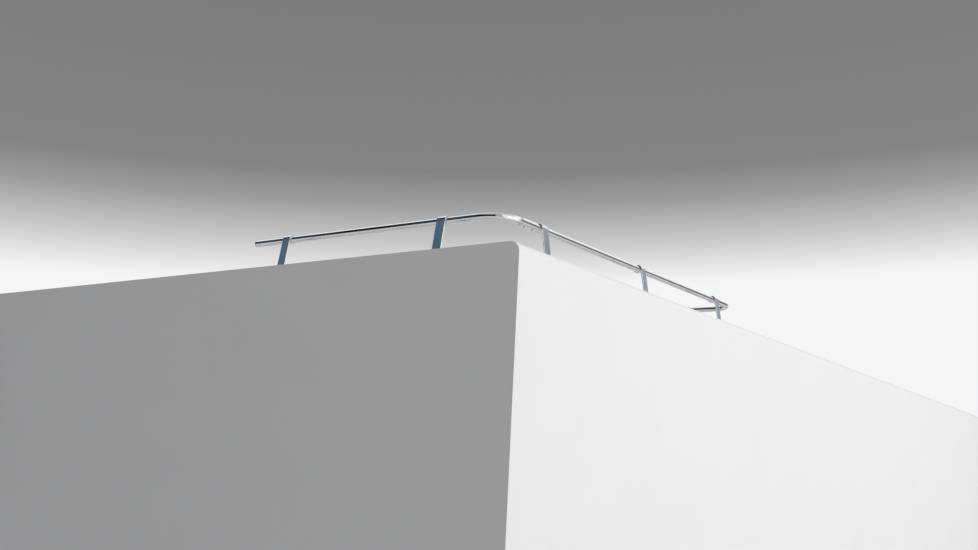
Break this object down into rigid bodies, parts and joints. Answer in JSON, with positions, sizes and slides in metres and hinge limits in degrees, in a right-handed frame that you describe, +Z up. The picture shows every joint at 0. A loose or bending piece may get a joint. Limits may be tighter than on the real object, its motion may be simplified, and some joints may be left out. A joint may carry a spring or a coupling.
{
  "type": "roof luggage rail",
  "caption": "Low U-shaped roof luggage rail of round aluminium tube on hooked flat-bar legs, open at the front, for the rear of a camper roof.",
  "frame": {"origin": "middle of the rail's footprint, on the roof surface under the gaskets", "axes": "+X across the roof, to the right seen from behind; +Y towards the front of the trailer, where the U is open; +Z up"},
  "size_m": [2.1786, 1.286, 0.1486],
  "materials": {
    "rail_tube": "bright anodised",
    "splice_sleeve": "bright anodised",
    "leg_bar": "polished",
    "screw": "stainless",
    "gasket": "matte",
    "end_plug": "moulded"
  },
  "bodies": {
    "root": {"left_side_rail": "rail_tube", "right_side_rail": "rail_tube", "rear_rail": "rail_tube", "left_splice_sleeve": "splice_sleeve", "right_splice_sleeve": "splice_sleeve", "leg_left_front": "leg_bar", "leg_left_rear": "leg_bar", "leg_rear_left": "leg_bar", "leg_rear_middle": "leg_bar", "leg_rear_right": "leg_bar", "leg_right_rear": "leg_bar", "leg_right_front": "leg_bar", "gasket_left_front": "gasket", "gasket_left_rear": "gasket", "gasket_rear_left": "gasket", "gasket_rear_middle": "gasket", "gasket_rear_right": "gasket", "gasket_right_rear": "gasket", "gasket_right_front": "gasket", "hook_screws": "screw", "sleeve_screws": "screw", "left_end_plug": "end_plug", "right_end_plug": "end_plug"}
  },
  "joints": []
}
